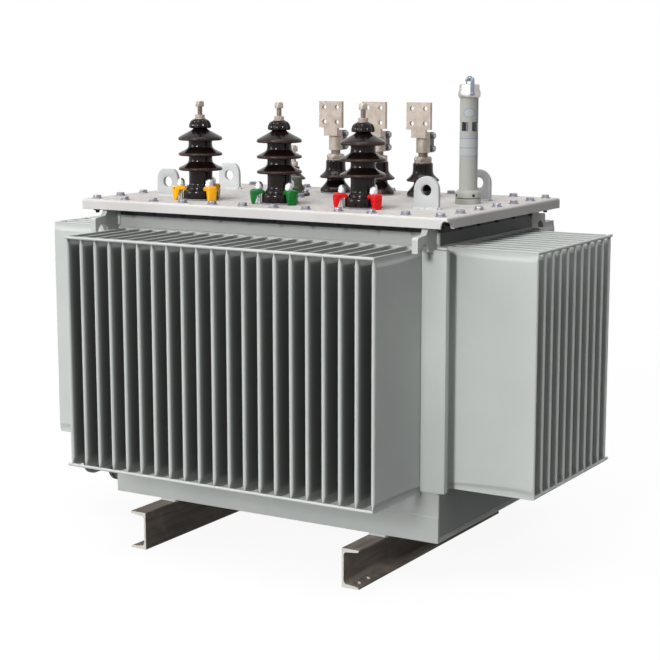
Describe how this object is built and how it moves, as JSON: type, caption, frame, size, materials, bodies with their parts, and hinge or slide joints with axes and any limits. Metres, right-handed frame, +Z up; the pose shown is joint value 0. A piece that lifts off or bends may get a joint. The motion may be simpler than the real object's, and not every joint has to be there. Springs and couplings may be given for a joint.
{
  "type": "distribution transformer",
  "caption": "Oil-filled distribution transformer: sealed tank with folded cooling fins on skids, brown porcelain bushings with flag terminals, gauge tube and lifting lugs on the cover.",
  "frame": {"origin": "on the floor under the middle of the tank", "axes": "+X along the long front to the right, +Y from the front to the back, +Z up"},
  "size_m": [1.466, 1.024, 1.239],
  "materials": {
    "tank_paint": "light grey enamel",
    "cover_paint": "warm light grey enamel",
    "lug_paint": "light grey enamel",
    "skid_steel": "grey-brown primer",
    "seal_rubber": "matte",
    "porcelain": "dark brown glaze",
    "terminal_metal": "tinned",
    "claw_yellow": "gloss enamel",
    "claw_green": "gloss enamel",
    "claw_red": "gloss enamel",
    "gauge_grey": "satin",
    "cap_metal": "satin",
    "tap_grey": "olive-grey enamel",
    "valve_black": "black enamel"
  },
  "bodies": {
    "root": {"skid_right": "skid_steel", "skid_left": "skid_steel", "skid_pads": "tank_paint", "base_floor": "tank_paint", "base_sides": "tank_paint", "base_ends": "tank_paint", "fin_wall_front": "tank_paint", "fin_wall_back": "tank_paint", "fin_wall_right": "tank_paint", "fin_wall_left": "tank_paint", "fin_bars_long": "tank_paint", "fin_bars_ends": "tank_paint", "band_sides": "tank_paint", "band_ends": "tank_paint", "rim_sides": "tank_paint", "rim_ends": "tank_paint", "cover_gasket": "seal_rubber", "cover": "cover_paint", "hooks_front": "tank_paint", "hooks_back": "tank_paint", "cover_lugs": "lug_paint", "bushing_gaskets": "seal_rubber", "hv_caps": "porcelain", "hv_studs": "terminal_metal", "hv_bushing_left": "porcelain", "hv_bushing_middle": "porcelain", "hv_bushing_right": "porcelain", "hv_claws_left": "claw_yellow", "hv_claws_middle": "claw_green", "hv_claws_right": "claw_red", "lv_bushing_neutral": "porcelain", "lv_bushing_left": "porcelain", "lv_bushing_middle": "porcelain", "lv_bushing_right": "porcelain", "lv_stud_neutral": "terminal_metal", "lv_studs": "terminal_metal", "lv_flag_left": "terminal_metal", "lv_flag_middle": "terminal_metal", "lv_flag_right": "terminal_metal", "gauge_base": "gauge_grey", "gauge_tube": "gauge_grey", "gauge_cap": "cap_metal", "tap_changer": "tap_grey", "drain_valve": "valve_black", "drain_wheel": "valve_black"}
  },
  "joints": []
}
